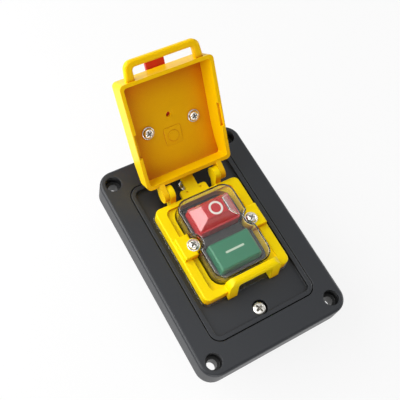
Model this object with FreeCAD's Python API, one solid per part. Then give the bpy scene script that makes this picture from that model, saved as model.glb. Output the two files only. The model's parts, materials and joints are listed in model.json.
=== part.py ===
"""Emergency stop switch: a start and stop push-button switch on a mounting plate, under a stop lid.

Sizes are in millimetres. The origin is the centre of the plate's back face. X runs across the plate,
Y along it towards the lid's hinge and Z out of its front. The lid and the pieces on it are made
closed and then turned open about the hinge, which is how the switch rests.
"""
import FreeCAD, Part
import math
import os

# Mounting plate: a moulded shell, open at the back, with a window for the switch panel
plate_width = 90.0
plate_length = 127.0
plate_height = 13.2
plate_corner_r = 9.0
plate_edge_r = 1.6
plate_wall = 2.6
plate_deck = 3.2
plate_hole_pitch_x = 74.5
plate_hole_pitch_y = 111.0
plate_hole_d = 5.6
plate_counterbore_d = 8.8
plate_counterbore_depth = 6.0
plate_post_d = 12.8
plate_rib = 1.6
plate_rib_pitch = 30.0

# Switch panel: a tray that drops into the window and rests on a ledge
panel_width = 64.3
panel_length = 96.8
panel_corner_r = 6.0
panel_gap = 0.5
panel_rim = 2.5
panel_recess = 2.2
panel_floor = 2.6
window_wall = 2.2
ledge_width = 4.0
ledge_thickness = 2.4
panel_boss_d = 11.0
panel_boss_depth = 2.4
panel_post_d = 9.0
panel_screw_inset = 6.4
panel_post_gap = 2.0

# Pan-head screws of the panel, the guard frame and the lid
screw_head_d = 7.0
screw_head_h = 2.4
screw_d = 3.3
screw_reach = 5.0
pan_rim_share = 0.45
pan_crown_share = 0.6
screw_recess_gap = 0.8
screw_hole_gap = 0.25
screw_thread_gap = 0.05

# Splash boot: a clear soft cap whose flange is the frame's gasket
boot_half = 17.4
boot_front = 23.6
boot_back = 25.9
boot_corner_r = 7.0
boot_edge_r = 1.3
boot_wall = 0.9
boot_button_gap = 0.8
boot_flange = 0.8
boot_flange_show = 1.0
boot_scallop_r = 4.4
hood_base_half = 12.5
hood_base_front = 4.4
hood_base_back = 19.3
hood_top_half = 7.1
hood_top_front = 7.5
hood_top_back = 17.5
hood_height = 4.6

# Guard frame: a yellow surround with screw bosses, a front staple and hinge ears
frame_half = 26.6
frame_front = 28.4
frame_back = 29.2
frame_height = 6.4
frame_corner_r = 3.5
frame_edge_r = 0.7
frame_ledge_drop = 1.7
frame_rim_side = 5.4
frame_rim_front = 3.5
frame_boot_gap = 0.4
frame_screw_x = 18.3
frame_screw_y = 1.4
frame_boss_half = 25.6
frame_boss_front = -4.2
frame_boss_back = 8.8
frame_boss_height = 3.7
frame_boss_edge_r = 0.8
frame_pedestal_r = 4.0
staple_middle_x = 2.6
staple_half = 16.0
staple_leg = 5.5
staple_rise = 7.8
staple_boot_gap = 0.8
staple_bar = 3.4
staple_reach = 30.9
staple_lean = 2.6
staple_bend_r = 4.6
staple_inner_r = 1.8
staple_brow_r = 2.4
staple_edge_r = 0.8
stop_plate_half = 8.3
stop_plate_reach = 4.4
stop_plate_thickness = 2.0
stop_plate_corner_r = 1.5
stop_tongue_half = 3.6
stop_tongue_reach = 16.8
stop_gap = 0.4
stop_dimple_x = 4.3
stop_dimple_d = 1.6
stop_dimple_depth = 0.8

# Hinge
hinge_y = 34.2
hinge_z = 21.0
hinge_ear_r = 4.2
hinge_frame_ear_in = 12.7
hinge_frame_ear = 3.4
hinge_lid_ear = 2.9
hinge_ear_gap = 0.3
hinge_pin_d = 3.0
hinge_pin_depth = 2.2
hinge_end_gap = 0.3
hinge_blind = 0.8
hinge_run_gap = 0.06
hinge_press_gap = 0.02
lid_open_angle = 130.0

# Lid: a drafted shell with a back that curves down to the hinge, and a loop handle
lid_gap = 2.24
lid_hinge_offset = 5.77
lid_length = 60.2
lid_half_hinge = 26.2
lid_half_free = 27.3
lid_corner_r = 2.6
lid_depth = 13.6
lid_depth_hinge = 9.9
lid_curve_length = 22.0
lid_wall = 2.0
lid_floor = 2.1
lid_draft = 0.7
lid_edge_r = 1.8
lid_boss_gap = 0.4
lid_screw_x = 14.1
lid_screw_from_hinge = 26.9
lid_peephole_d = 3.0
lid_peephole_from_hinge = 32.8
lid_pad_size = 10.0
lid_pad_height = 0.4
lid_pad_from_hinge = 20.5
lid_pad_ring_d = 6.0
loop_base_half = 22.6
loop_top_half = 21.3
loop_reach = 10.3
loop_bar = 3.9
loop_open_half = 17.4
loop_offset = 1.0
loop_thickness = 4.1
loop_corner_r = 4.6
loop_open_r = 1.8
loop_edge_r = 1.4

# Strike pad on the lid's outer side
strike_half = 18.0
strike_from_hinge = 19.0
strike_from_free = 4.0
strike_corner_r = 9.0
strike_height = 5.2
strike_dome_r = 70.0
strike_edge_r = 1.2
strike_tab_half = 5.5
strike_tab_reach = 4.2
strike_tab_thickness = 1.9
strike_tab_r = 1.2

# Switch head: the flange under the panel and the block that guides the buttons
head_gap = 0.5
head_back_wall = 1.5
head_height = 10.9
head_corner_r = 6.0
head_flange = 2.4
head_panel_gap = 0.3
head_screw_boss_d = 7.4
head_screw_boss_h = 6.0

# Push buttons
button_half = 12.3
button_draft = 0.6
button_wall = 1.4
button_corner_r = 0.8
button_skirt = 6.8
button_window_gap = 0.35
button_stem_d = 4.6
button_stem_gap = 0.3
button_travel = 3.0
button_rest_gap = 0.3
start_front = -18.9
start_back = -3.1
start_proud = 5.0
start_top = 1.8
start_bevel = 0.8
stop_front = 4.1
stop_back = 19.6
stop_proud = 5.2
stop_hood_gap = 0.6
stop_roof = 0.8

# Return springs
spring_wire = 1.0
spring_d = 8.4
spring_turns = 4.0

# Switch body and terminal base behind the panel
body_half = 25.0
body_front = 31.0
body_back = 33.0
body_depth = 28.0
body_wall = 2.0
body_corner_r = 2.5
base_thickness = 4.0
barrier_height = 5.0
barrier_thickness = 1.4
barrier_x = 17.0
barrier_front = 22.0
body_screw_inset = 4.0
body_screw_boss_d = 6.6
body_screw_d = 2.5
body_screw_head_d = 5.0
body_screw_head_h = 2.0

# Electromagnet
armature_half = 14.0
armature_depth = 9.0
armature_thickness = 2.5
pole_gap = 0.3
yoke_leg = 4.0
yoke_core_half = 4.0
yoke_base = 4.0
bobbin_wall = 1.0
bobbin_gap = 0.1
bobbin_flange_half = 9.6
bobbin_flange_depth = 19.0
bobbin_top_drop = 0.7
winding_inset = 0.5

# Contacts and terminals
carrier_gap = 0.5
carrier_depth = 12.0
carrier_thickness = 2.5
carrier_post = 8.0
carrier_drop = 3.9
bridge_half = 8.0
bridge_width = 5.0
contact_pitch = 12.0
contact_d = 3.2
contact_h = 0.8
contact_gap = 0.1
metal = 0.8
stirrup = 0.8
stirrup_depth = 4.0
stirrup_gap = 0.2
contact_spring_wire = 0.5
contact_spring_d = 3.4
contact_spring_turns = 2.0
contact_spring_length = 2.2
blade_width = 6.3
blade_length = 8.0
blade_tip = 1.0
blade_hole_d = 1.7
blade_hole_from_tip = 3.0
blade_slot_gap = 0.05
terminal_wall_gap = 0.4
plunger_collar_d = 8.0
plunger_collar = 1.0
plunger_shaft_d = 4.0
plunger_foot_d = 6.4
plunger_foot = 0.8
plunger_shaft = 3.9
plunger_gap = 0.2
stop_bridge_half = 9.0
stop_contact_x = 7.0
stop_terminal_x = 11.6
stop_pad_in = 5.5
stop_terminal_foot = 1.5
coil_terminal_y = 2.6
coil_terminal_rise = 10.0

# How far a cutting tool runs past the face that it cuts, and an added piece into the one that carries it
over = 1.0
root = 0.4

# Levels and places that follow from the sizes
floor_z = plate_height - panel_recess
ledge_z = floor_z - panel_floor
panel_seat_z = ledge_z - panel_boss_depth
head_bottom_z = ledge_z - head_flange
head_top_z = ledge_z + head_height
boot_flange_z = floor_z + boot_flange
boot_top_z = head_top_z + start_proud + boot_button_gap + boot_wall
frame_top_z = boot_flange_z + frame_height
frame_ledge_z = frame_top_z - frame_ledge_drop
boss_top_z = frame_top_z + frame_boss_height
staple_top_z = frame_top_z + staple_rise
lid_rim_z = frame_top_z + lid_gap
lid_hinge_wall_y = hinge_y - lid_hinge_offset
lid_free_y = lid_hinge_wall_y - lid_length
lid_back_z = lid_rim_z + lid_depth
lid_inside_z = lid_back_z - lid_floor
lid_screw_y = lid_hinge_wall_y - lid_screw_from_hinge
start_y = (start_front + start_back) / 2
stop_y = (stop_front + stop_back) / 2
body_bottom_z = head_bottom_z - body_depth
base_bottom_z = body_bottom_z - base_thickness
blade_end_z = base_bottom_z - blade_length
collar_z = head_bottom_z - button_rest_gap
carrier_bottom_z = collar_z - carrier_thickness
armature_top_z = carrier_bottom_z - carrier_drop
armature_bottom_z = armature_top_z - armature_thickness
pole_z = armature_bottom_z - button_travel - pole_gap
bridge_top_z = carrier_bottom_z - contact_spring_length
bridge_bottom_z = bridge_top_z - metal
fixed_pad_z = bridge_bottom_z - 2 * contact_h - button_travel - contact_gap
terminal_outer_x = body_half - body_wall - terminal_wall_gap
carrier_half = body_half - body_wall - carrier_gap
pole_x = carrier_half - stirrup - stirrup_gap - bridge_width / 2
frame_screws = [(side * frame_screw_x, frame_screw_y) for side in (-1, 1)]
lid_screws = [(side * lid_screw_x, lid_screw_y) for side in (-1, 1)]
panel_screws = [(0.0, panel_screw_inset - panel_length / 2),
                (0.0, body_back + panel_post_gap + panel_post_d / 2)]
plate_holes = [(sx * plate_hole_pitch_x / 2, sy * plate_hole_pitch_y / 2)
               for sx in (-1, 1) for sy in (-1, 1)]
body_screws = [(side * (body_half - body_screw_inset), y) for side in (-1, 1)
               for y in (body_screw_inset - body_front, body_back - body_screw_inset)]
main_poles = [(side, start_y + end * contact_pitch / 2) for side in (-1, 1) for end in (-1, 1)]

V = FreeCAD.Vector
ALONG_X = V(1, 0, 0)
ALONG_Z = V(0, 0, 1)


def rect(x0, x1, y0, y1):
    """The four corners of a rectangle, in order round it."""
    return [(x0, y0), (x1, y0), (x1, y1), (x0, y1)]


def grown(x0, x1, y0, y1, by):
    """A rectangle's corners after each side has moved out by the same amount."""
    return rect(x0 - by, x1 + by, y0 - by, y1 + by)


def outline(corners, radii, place):
    """A closed wire through the corners, each rounded by a tangent arc unless its radius is 0."""
    count = len(corners)
    if not isinstance(radii, list):
        radii = [radii] * count
    joints = []
    for i, radius in enumerate(radii):
        corner = V(*corners[i], 0)
        back = (V(*corners[i - 1], 0) - corner).normalize()
        ahead = (V(*corners[(i + 1) % count], 0) - corner).normalize()
        half = back.getAngle(ahead) / 2
        middle = (back + ahead).normalize()
        trim = radius / math.tan(half)
        dip = radius / math.sin(half) - radius
        joints.append((corner + back * trim, corner + middle * dip, corner + ahead * trim))
    edges = []
    for i, (start, middle, end) in enumerate(joints):
        if radii[i] > 0:
            arc = [place(p.x, p.y) for p in (start, middle, end)]
            edges.append(Part.Arc(*arc).toShape())
        following = joints[(i + 1) % count][0]
        edges.append(Part.LineSegment(place(end.x, end.y), place(following.x, following.y)).toShape())
    return Part.Wire(edges)


def flat_wire(corners, radii, z):
    """An outline lying level at height z."""
    return outline(corners, radii, lambda x, y: V(x, y, z))


def prism(corners, radii, z0, z1):
    """A level outline carried straight up from z0 to z1."""
    return Part.Face(flat_wire(corners, radii, z0)).extrude(V(0, 0, z1 - z0))


def side_prism(corners, radii, x0, x1):
    """An outline in the YZ plane carried along X from x0 to x1."""
    wire = outline(corners, radii, lambda y, z: V(x0, y, z))
    return Part.Face(wire).extrude(V(x1 - x0, 0, 0))


def front_prism(corners, radii, y0, y1):
    """An outline in the XZ plane carried along Y from y0 to y1."""
    wire = outline(corners, radii, lambda x, z: V(x, y0, z))
    return Part.Face(wire).extrude(V(0, y1 - y0, 0))


def drafted(low, low_r, z0, high, high_r, z1):
    """A solid that tapers from one level outline to another."""
    return Part.makeLoft([flat_wire(low, low_r, z0), flat_wire(high, high_r, z1)], True, True)


def upright(x, y, z0, z1, diameter):
    """A round bar standing along Z."""
    return Part.makeCylinder(diameter / 2, z1 - z0, V(x, y, z0), ALONG_Z)


def crossbar(x0, x1, y, z, diameter):
    """A round bar lying along X."""
    return Part.makeCylinder(diameter / 2, x1 - x0, V(x0, y, z), ALONG_X)


def mirrored(shape):
    """The shape's twin on the other side of the YZ plane."""
    return shape.mirror(V(0, 0, 0), ALONG_X)


def both_sides(shape):
    """A piece of the right side with its twin on the left."""
    return [shape, mirrored(shape)]


def level_edges(shape, z):
    """The edges of a shape that lie at height z."""
    close = 1e-4
    return [e for e in shape.Edges if abs(e.BoundBox.ZMin - z) < close and abs(e.BoundBox.ZMax - z) < close]


def joined(shapes):
    """One solid made of touching shapes, with the seams between them removed."""
    return shapes[0].multiFuse(shapes[1:]).removeSplitter()


def save(name, *solids):
    """Write one node, either a single solid or a group of separate ones."""
    shape = solids[0] if len(solids) == 1 else Part.makeCompound(solids)
    shape.exportStep("parts/" + name + ".step")


def pan_screw(x, y, seat_z, direction, head_d, head_h, shank_d, shank_length):
    """A screw turned about its axis: a head with a sloped crown on its seat, and a shank the other way."""
    rim_h = head_h * pan_rim_share
    crown_r = head_d / 2 * pan_crown_share
    profile = [V(0, 0, -shank_length), V(shank_d / 2, 0, -shank_length), V(shank_d / 2, 0, 0),
               V(head_d / 2, 0, 0), V(head_d / 2, 0, rim_h), V(crown_r, 0, head_h), V(0, 0, head_h)]
    screw = Part.Face(Part.makePolygon(profile + profile[:1])).revolve(V(0, 0, 0), ALONG_Z, 360)
    if direction < 0:
        screw.rotate(V(0, 0, 0), ALONG_X, 180)
    screw.translate(V(x, y, seat_z))
    return screw


def coil_spring(x, y, z0, z1, diameter, wire, turns):
    """A helix between two levels, its six-sided wire lying wholly between them."""
    height = z1 - z0 - wire
    path = Part.makeHelix(height / turns, height, diameter / 2)
    corners = [V(diameter / 2 + wire / 2 * math.cos(k * math.pi / 3), 0, wire / 2 * math.sin(k * math.pi / 3))
               for k in range(7)]
    section = Part.makePolygon(corners)
    spring = Part.Wire(path.Edges).makePipeShell([section], True, True)
    spring.translate(V(x, y, z0 + wire / 2))
    return spring


def opened(shape):
    """A piece of the lid turned from its closed place to its open one."""
    turned = shape.copy()
    turned.rotate(V(0, hinge_y, hinge_z), V(-1, 0, 0), lid_open_angle)
    return turned


# Mounting plate
def make_base_plate():
    half_x = plate_width / 2
    half_y = plate_length / 2
    deck_z = plate_height - plate_deck
    window = (-panel_width / 2, panel_width / 2, -panel_length / 2, panel_length / 2)
    window_r = panel_corner_r + panel_gap
    surround = panel_gap + window_wall
    body = prism(rect(-half_x, half_x, -half_y, half_y), plate_corner_r, 0, plate_height)
    body = body.makeFillet(plate_edge_r, level_edges(body, plate_height))
    inner = grown(-half_x, half_x, -half_y, half_y, -plate_wall)
    body = body.cut(prism(inner, plate_corner_r - plate_wall, -over, deck_z))
    solids = [body, prism(grown(*window, surround), window_r + window_wall, 0, deck_z)]
    solids += [upright(x, y, 0, deck_z, plate_post_d) for x, y in plate_holes]
    rib_in = panel_width / 2 + surround - window_wall / 2
    rib_end = panel_length / 2 + surround - window_wall / 2
    for step in (-1, 0, 1):
        y = step * plate_rib_pitch
        rib = prism(rect(rib_in, half_x - plate_wall / 2, y - plate_rib / 2, y + plate_rib / 2), 0, 0, deck_z)
        solids += both_sides(rib)
    for end in (-1, 1):
        low, high = sorted((end * rib_end, end * (half_y - plate_wall / 2)))
        middle = plate_rib_pitch / 2
        rib = prism(rect(middle - plate_rib / 2, middle + plate_rib / 2, low, high), 0, 0, deck_z)
        solids += both_sides(rib)
    body = joined(solids)
    opening = grown(*window, panel_gap)
    inside_ledge = grown(*window, panel_gap - ledge_width)
    cuts = [prism(opening, window_r, ledge_z, plate_height + over),
            prism(inside_ledge, window_r - ledge_width, -over, plate_height + over),
            prism(opening, window_r, -over, ledge_z - ledge_thickness)]
    body = body.cut(Part.makeCompound(cuts))
    posts = []
    for x, y in panel_screws:
        wall_y = math.copysign(panel_length / 2 + panel_gap + window_wall / 2, y)
        web = rect(x - panel_post_d / 2, x + panel_post_d / 2, *sorted((y, wall_y)))
        posts += [upright(x, y, 0, panel_seat_z, panel_post_d), prism(web, 0, 0, panel_seat_z)]
    body = joined([body] + posts)
    cuts = []
    for x, y in panel_screws:
        notch = upright(x, y, panel_seat_z, plate_height + over, panel_boss_d + 2 * panel_gap)
        cuts.append(notch.common(prism(opening, window_r, 0, plate_height + over)))
        cuts.append(upright(x, y, panel_seat_z - screw_reach, panel_seat_z + over,
                            screw_d + 2 * screw_thread_gap))
    for x, y in plate_holes:
        cuts.append(upright(x, y, -over, plate_height + over, plate_hole_d))
        cuts.append(upright(x, y, plate_height - plate_counterbore_depth, plate_height + over,
                            plate_counterbore_d))
    for cut in cuts:
        body = body.cut(cut)
    return body


# Switch panel
def make_switch_panel():
    edge = (-panel_width / 2, panel_width / 2, -panel_length / 2, panel_length / 2)
    panel = prism(rect(*edge), panel_corner_r, ledge_z, plate_height)
    tray = prism(grown(*edge, -panel_rim), panel_corner_r - panel_rim, floor_z, plate_height + over)
    panel = panel.cut(tray)
    panel = joined([panel] + [upright(x, y, panel_seat_z, ledge_z + panel_floor / 2, panel_boss_d)
                              for x, y in panel_screws])
    recess_z = floor_z - screw_head_h - screw_hole_gap
    cuts = [head_block(head_panel_gap, -over, plate_height + over)]
    for x, y in panel_screws:
        cuts.append(upright(x, y, recess_z, plate_height + over, screw_head_d + 2 * screw_recess_gap))
        cuts.append(upright(x, y, panel_seat_z - over, plate_height, screw_d + 2 * screw_hole_gap))
    for x, y in frame_screws:
        cuts.append(upright(x, y, ledge_z - over, plate_height, screw_d + 2 * screw_hole_gap))
    return panel.cut(Part.makeCompound(cuts))


def make_panel_screws():
    seat_z = floor_z - screw_head_h - screw_hole_gap
    length = seat_z - panel_seat_z + screw_reach - screw_hole_gap
    return [pan_screw(x, y, seat_z, 1, screw_head_d, screw_head_h, screw_d, length) for x, y in panel_screws]


# Switch head
def head_block(by, z0, z1):
    """The outline of the head's guide block, grown by a clearance and carried between two levels."""
    inset = boot_wall + head_gap
    half = boot_half - inset
    back = stop_back + button_window_gap + head_back_wall
    corners = grown(-half, half, inset - boot_front, back, by)
    block = prism(corners, head_corner_r, z0, z1)
    scallop = boot_scallop_r + inset - by
    return block.cut(Part.makeCompound([upright(x, y, z0 - over, z1 + over, 2 * scallop)
                                        for x, y in frame_screws]))


def make_switch_head():
    flange_corners = rect(-body_half, body_half, -body_front, body_back)
    solids = [prism(flange_corners, body_corner_r, head_bottom_z, ledge_z),
              head_block(0, head_bottom_z, head_top_z)]
    solids += [upright(x, y, head_bottom_z - head_screw_boss_h, ledge_z, head_screw_boss_d)
               for x, y in frame_screws]
    head = joined(solids)
    cuts = []
    for front, back, middle in ((start_front, start_back, start_y), (stop_front, stop_back, stop_y)):
        corners = grown(-button_half, button_half, front, back, button_draft + button_window_gap)
        cuts.append(prism(corners, button_corner_r, ledge_z, head_top_z + over))
        hole_d = button_stem_d + 2 * button_stem_gap
        cuts.append(upright(0, middle, head_bottom_z - over, ledge_z + over, hole_d))
    for x, y in frame_screws:
        cuts.append(upright(x, y, head_bottom_z - head_screw_boss_h - over, head_top_z,
                            screw_d + 2 * screw_thread_gap))
    for x, y in body_screws:
        cuts.append(upright(x, y, head_bottom_z - over, ledge_z + over, body_screw_d + 2 * screw_thread_gap))
    return head.cut(Part.makeCompound(cuts))


# Push buttons
def hood_corners(z, inset):
    """The corners of the boot's hood at a level, moved in by an amount."""
    share = (z - boot_top_z) / hood_height
    half = hood_base_half + share * (hood_top_half - hood_base_half)
    front = hood_base_front + share * (hood_top_front - hood_base_front)
    back = hood_base_back + share * (hood_top_back - hood_base_back)
    return grown(-half, half, front, back, -inset)


def button_cap(front, back, shoulder_z):
    """A drafted cap up to its shoulder, before its top is added."""
    low = grown(-button_half, button_half, front, back, button_draft)
    high = rect(-button_half, button_half, front, back)
    return drafted(low, button_corner_r, head_top_z - button_skirt, high, button_corner_r, shoulder_z)


def hollowed(cap, front, back, roof_z, middle):
    """A cap with its inside removed below the roof, and a stem down to the collar."""
    inside = grown(-button_half, button_half, front, back, -button_wall)
    cap = cap.cut(prism(inside, button_corner_r, head_top_z - button_skirt - over, roof_z))
    return joined([cap, upright(0, middle, collar_z, roof_z, button_stem_d)])


def make_start_button():
    top_z = head_top_z + start_proud
    shoulder_z = top_z - start_bevel
    edge = (-button_half, button_half, start_front, start_back)
    bevel = drafted(rect(*edge), button_corner_r, shoulder_z,
                    grown(*edge, -start_bevel), button_corner_r, top_z)
    cap = button_cap(start_front, start_back, shoulder_z).fuse(bevel)
    return hollowed(cap, start_front, start_back, top_z - start_top, start_y)


def make_stop_button():
    shoulder_z = head_top_z + stop_proud
    inset = boot_wall + stop_hood_gap
    top_z = boot_top_z + hood_height - inset
    crown = drafted(hood_corners(shoulder_z + boot_wall, inset), 0, shoulder_z,
                    hood_corners(top_z + boot_wall, inset), 0, top_z)
    cap = button_cap(stop_front, stop_back, shoulder_z).fuse(crown)
    return hollowed(cap, stop_front, stop_back, shoulder_z - stop_roof, stop_y)


def make_start_spring():
    roof_z = head_top_z + start_proud - start_top
    return coil_spring(0, start_y, ledge_z, roof_z, spring_d, spring_wire, spring_turns)


def make_stop_spring():
    roof_z = head_top_z + stop_proud - stop_roof
    return coil_spring(0, stop_y, ledge_z, roof_z, spring_d, spring_wire, spring_turns)


# Splash boot
def boot_outer(inset):
    """The boot's closed outer form, or its inner one when inset by the wall."""
    top_z = boot_top_z - inset
    corners = grown(-boot_half, boot_half, -boot_front, boot_back, -inset)
    cap = prism(corners, boot_corner_r - inset, floor_z, top_z)
    cap = cap.makeFillet(boot_edge_r, level_edges(cap, top_z))
    scallop = boot_scallop_r + inset
    cap = cap.cut(Part.makeCompound([upright(x, y, floor_z, top_z + over, 2 * scallop)
                                     for x, y in frame_screws]))
    hood = drafted(hood_corners(boot_top_z, inset), 0, top_z,
                   hood_corners(boot_top_z + hood_height, inset), 0, top_z + hood_height)
    return cap.fuse(hood)


def make_splash_boot():
    show = boot_flange_show
    corners = rect(-frame_half - show, frame_half + show, -frame_front - show, frame_back + show)
    flange = prism(corners, frame_corner_r + show, floor_z, boot_flange_z)
    boot = joined([flange, boot_outer(0)])
    boot = boot.cut(boot_outer(boot_wall))
    holes = [upright(x, y, floor_z - over, boot_flange_z + over, screw_d + 2 * screw_hole_gap)
             for x, y in frame_screws]
    return boot.cut(Part.makeCompound(holes))


# Guard frame
def frame_ear():
    """The right-hand hinge ear: a ring about the hinge axis on an arm from the frame's back wall."""
    x0 = hinge_frame_ear_in
    x1 = x0 + hinge_frame_ear
    root_y = frame_back - root
    arm = [(root_y, boot_flange_z), (frame_back + hinge_ear_r / 2, boot_flange_z),
           (hinge_y, hinge_z - hinge_ear_r), (hinge_y, hinge_z), (hinge_y - hinge_ear_r, hinge_z),
           (frame_back, frame_top_z), (root_y, frame_top_z)]
    ear = side_prism(arm, 0, x0, x1)
    return joined([ear, crossbar(x0, x1, hinge_y, hinge_z, 2 * hinge_ear_r)])


def opening_stop():
    """A plate behind the frame and a tongue that rises to meet the open lid's back edge."""
    plate_y = frame_back + stop_plate_reach
    root_y = frame_back - root
    top_z = frame_top_z
    low_z = top_z - stop_plate_thickness
    corners = rect(-stop_plate_half, stop_plate_half, root_y, plate_y)
    plate = prism(corners, [0, 0, stop_plate_corner_r, stop_plate_corner_r], low_z, top_z)
    dimple_y = frame_back + stop_plate_reach / 2
    dimple = upright(stop_dimple_x, dimple_y, top_z - stop_dimple_depth, top_z + over, stop_dimple_d)
    plate = plate.cut(Part.makeCompound(both_sides(dimple)))
    lid_edge = V(0, lid_hinge_wall_y - hinge_y, lid_rim_z + lid_depth_hinge - hinge_z)
    turn = math.radians(lid_open_angle)
    rest_z = hinge_z - lid_edge.y * math.sin(turn) + lid_edge.z * math.cos(turn) - stop_gap
    end_y = frame_back + stop_tongue_reach
    tongue = [(plate_y - stop_plate_corner_r, top_z), (end_y, rest_z), (end_y, rest_z - stop_plate_thickness),
              (plate_y - stop_plate_corner_r, low_z)]
    return [plate, side_prism(tongue, 0, -stop_tongue_half, stop_tongue_half)]


def front_staple():
    """An arch on the frame's front edge: two legs that lean back as they rise and bend into a bar."""
    back = boot_front + staple_boot_gap
    bar_z = staple_top_z - staple_bar
    x0, x1 = staple_middle_x - staple_half, staple_middle_x + staple_half
    arch = front_prism(rect(x0, x1, boot_flange_z, staple_top_z), [0, 0, staple_bend_r, staple_bend_r],
                       -staple_reach, -back)
    under = front_prism(rect(x0 + staple_leg, x1 - staple_leg, boot_flange_z - over, bar_z),
                        [0, 0, staple_inner_r, staple_inner_r], -staple_reach - over, over - back)
    side = [(-staple_reach, boot_flange_z), (-back, boot_flange_z), (-back, staple_top_z),
            (staple_lean - staple_reach, staple_top_z)]
    side = side_prism(side, [0, 0, staple_edge_r, staple_brow_r], x0 - over, x1 + over)
    return arch.cut(under).common(side)


def make_guard_frame():
    edge = (-frame_half, frame_half, -frame_front, frame_back)
    frame = prism(rect(*edge), frame_corner_r, boot_flange_z, frame_top_z)
    frame = frame.makeFillet(frame_edge_r, level_edges(frame, frame_top_z))
    gap = frame_boot_gap
    opening = grown(-boot_half, boot_half, -boot_front, boot_back, gap)
    ledge = rect(frame_rim_side - frame_half, frame_half - frame_rim_side,
                 frame_rim_front - frame_front, boot_back + gap)
    frame = frame.cut(prism(ledge, frame_corner_r, frame_ledge_z, frame_top_z + over))
    boss = prism(rect(boot_half + gap, frame_boss_half, frame_boss_front, frame_boss_back), 0,
                 boot_flange_z, boss_top_z)
    boss = boss.makeFillet(frame_boss_edge_r, level_edges(boss, boss_top_z))
    frame = frame.cut(prism(opening, boot_corner_r + gap, boot_flange_z - over, frame_top_z + over))
    pedestal = upright(frame_screw_x, frame_screw_y, boot_flange_z, boss_top_z, 2 * frame_pedestal_r)
    inside = staple_half - staple_leg
    notch = rect(staple_middle_x - inside, staple_middle_x + inside, -frame_front - over, -boot_front)
    frame = frame.cut(prism(notch, 0, boot_flange_z - over, frame_top_z + over))
    solids = [frame] + both_sides(boss) + both_sides(pedestal) + both_sides(frame_ear()) + opening_stop()
    frame = joined(solids + [front_staple()])
    pin_d = hinge_pin_d + 2 * hinge_press_gap
    ear_out = hinge_frame_ear_in + hinge_frame_ear + over
    cuts = both_sides(crossbar(hinge_frame_ear_in + hinge_blind, ear_out, hinge_y, hinge_z, pin_d))
    cuts += [upright(x, y, boot_flange_z - over, boss_top_z + over, screw_d + 2 * screw_hole_gap)
             for x, y in frame_screws]
    return frame.cut(Part.makeCompound(cuts))


def make_frame_screws():
    length = boss_top_z - head_bottom_z + head_screw_boss_h - screw_hole_gap
    return [pan_screw(x, y, boss_top_z, 1, screw_head_d, screw_head_h, screw_d, length)
            for x, y in frame_screws]


def make_hinge_pins():
    end = hinge_frame_ear_in + hinge_frame_ear + hinge_ear_gap + hinge_pin_depth - hinge_end_gap
    return both_sides(crossbar(hinge_frame_ear_in + hinge_blind, end, hinge_y, hinge_z, hinge_pin_d))


# Lid
lid_curve_y = lid_hinge_wall_y - lid_curve_length
lid_curve_rise = lid_depth - lid_depth_hinge
lid_curve_r = (lid_curve_length ** 2 + lid_curve_rise ** 2) / (2 * lid_curve_rise)


def lid_back_cut(inset):
    """What lies outside the lid's curved back: an arc that runs level into the flat back."""
    radius = lid_curve_r - inset

    def on_arc(y):
        return V(-plate_width, y, lid_back_z - lid_curve_r + math.sqrt(radius ** 2 - (y - lid_curve_y) ** 2))

    end_y = lid_hinge_wall_y + over
    start = on_arc(lid_curve_y)
    end = on_arc(end_y)
    above = lid_back_z + over
    corners = [end, V(-plate_width, end_y, above), V(-plate_width, lid_curve_y, above), start]
    edges = [Part.Arc(start, on_arc((lid_curve_y + end_y) / 2), end).toShape()]
    edges += [Part.LineSegment(a, b).toShape() for a, b in zip(corners, corners[1:])]
    return Part.Face(Part.Wire(edges)).extrude(V(2 * plate_width, 0, 0))


def lid_form(inset, top_z, curve_inset):
    """The lid's outer form, or its hollow when inset: drafted walls and a curved back."""
    hinge_half, wall_y = lid_half_hinge - inset, lid_hinge_wall_y - inset
    free_half, free_y = lid_half_free - inset, lid_free_y + inset
    rim = [(-hinge_half, wall_y), (hinge_half, wall_y), (free_half, free_y), (-free_half, free_y)]
    back = [(x - math.copysign(lid_draft, x), y + (lid_draft if y < 0 else 0)) for x, y in rim]
    radius = lid_corner_r - inset / 2
    form = drafted(rim, radius, lid_rim_z, back, radius, top_z)
    return form.cut(lid_back_cut(curve_inset))


def rounded_lid():
    """The lid's outer form with its back edges rounded, apart from the line where the curve starts."""
    form = lid_form(0, lid_back_z, 0)
    middle_z = lid_rim_z + lid_depth_hinge / 2
    edges = []
    for edge in form.Edges:
        box = edge.BoundBox
        on_back = box.ZMin > middle_z
        at_curve = box.XLength > lid_half_hinge and abs(box.YMin - lid_curve_y) < over
        if on_back and not at_curve:
            edges.append(edge)
    return form.makeFillet(lid_edge_r, edges)


def lid_ear():
    """The right-hand lid ear: a ring about the hinge axis on an arm from the lid's hinge wall."""
    x0 = hinge_frame_ear_in + hinge_frame_ear + hinge_ear_gap
    x1 = x0 + hinge_lid_ear
    root_y = lid_hinge_wall_y - lid_wall / 2
    low_y = hinge_y - hinge_ear_r / 2
    arm = [(root_y, lid_rim_z), (low_y, hinge_z - hinge_ear_r * math.sqrt(3) / 2), (hinge_y, hinge_z),
           (hinge_y, hinge_z + hinge_ear_r), (root_y, hinge_z + hinge_ear_r)]
    return joined([side_prism(arm, 0, x0, x1), crossbar(x0, x1, hinge_y, hinge_z, 2 * hinge_ear_r)])


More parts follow.
